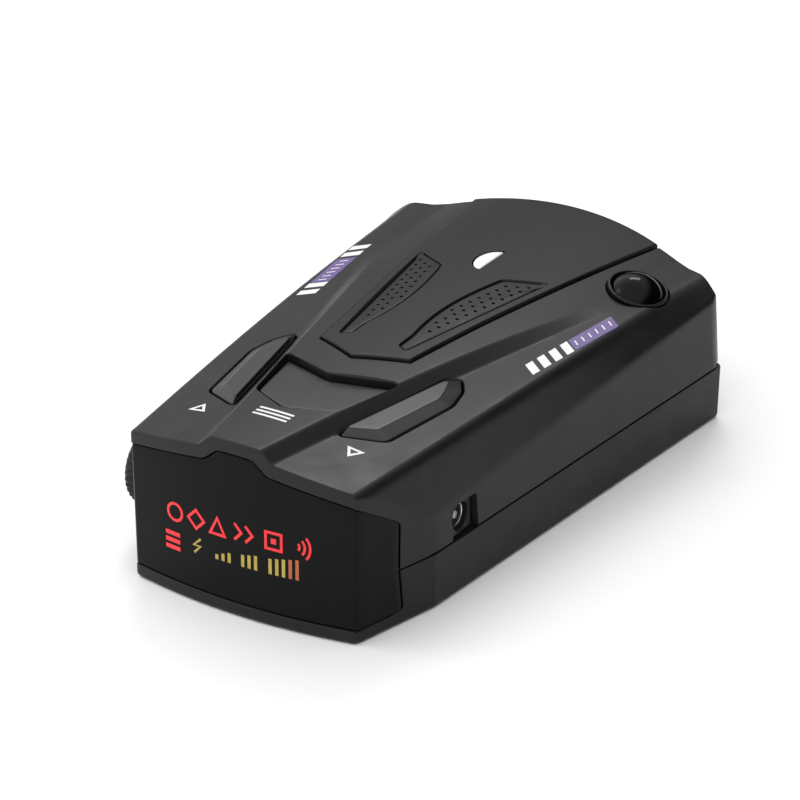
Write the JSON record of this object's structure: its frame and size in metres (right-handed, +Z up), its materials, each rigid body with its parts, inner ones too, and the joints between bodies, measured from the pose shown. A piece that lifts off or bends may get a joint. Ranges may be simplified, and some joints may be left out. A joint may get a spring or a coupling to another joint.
{
  "type": "radar detector",
  "caption": "Windscreen radar detector: wedge-shaped two-shell plastic case with dark display lens, three keys, speaker hood, laser dome, side dial and DC inlet.",
  "frame": {"origin": "centre of the bounding box's base, on the surface the case lies on", "axes": "+Y along the length, from the display at -Y to the antenna end; +X to the side with the DC inlet; +Z up"},
  "size_m": [0.0712, 0.1097, 0.0327],
  "materials": {
    "case_plastic": "fine satin texture",
    "lens_plastic": "polished near-black",
    "key_plastic": "satin",
    "light_plastic": "clear white, polished",
    "board": "green solder mask",
    "component": "moulded epoxy",
    "tinned_steel": "tinned",
    "zinc": "die cast",
    "foam": "closed-cell foam",
    "flex": "polyimide film",
    "screw_steel": "zinc plated"
  },
  "bodies": {
    "case": {"top_cover": "case_plastic", "bottom_case": "case_plastic", "display_lens": "lens_plastic", "speaker_hood": "case_plastic", "status_light_pipe": "light_plastic", "laser_dome": "lens_plastic", "dome_ring": "case_plastic", "menu_switch": "component", "down_switch": "component", "up_switch": "component", "volume_control": "tinned_steel", "dc_jack": "component", "dc_jack_pin": "tinned_steel", "main_board": "board", "key_board": "board", "display_board": "board", "display_light_box": "component", "display_ribbon": "flex", "speaker": "tinned_steel", "speaker_gasket": "foam", "horn_antenna": "zinc", "receiver_shield": "tinned_steel", "laser_sensor": "component", "sensor_board": "board", "controller_chip": "component", "voice_chip": "component", "power_capacitor": "component", "power_inductor": "component", "crystal": "tinned_steel", "case_screw_1": "screw_steel", "case_screw_2": "screw_steel", "case_screw_3": "screw_steel", "case_screw_4": "screw_steel"},
    "menu_key": {"menu_button": "key_plastic", "menu_plunger": "component"},
    "up_key": {"up_button": "key_plastic", "up_plunger": "component"},
    "down_key": {"down_button": "key_plastic", "down_plunger": "component"},
    "dial": {"volume_dial": "key_plastic"}
  },
  "joints": [
    {"name": "menu_press", "type": "slide", "parent": "case", "child": "menu_key", "axis": [0, 0, -1], "range_m": [0, 0.0005], "stiffness_N_per_m": 800, "springref_m": -0.0001},
    {"name": "up_press", "type": "slide", "parent": "case", "child": "up_key", "axis": [0, 0, -1], "range_m": [0, 0.0005], "stiffness_N_per_m": 800, "springref_m": -0.0001},
    {"name": "down_press", "type": "slide", "parent": "case", "child": "down_key", "axis": [0, 0, -1], "range_m": [0, 0.0005], "stiffness_N_per_m": 800, "springref_m": -0.0001},
    {"name": "volume_turn", "type": "hinge", "parent": "case", "child": "dial", "pos_m": [-0.0264, -0.037, 0.0124], "axis": [1, 0, 0], "range_deg": [-135, 135]}
  ]
}
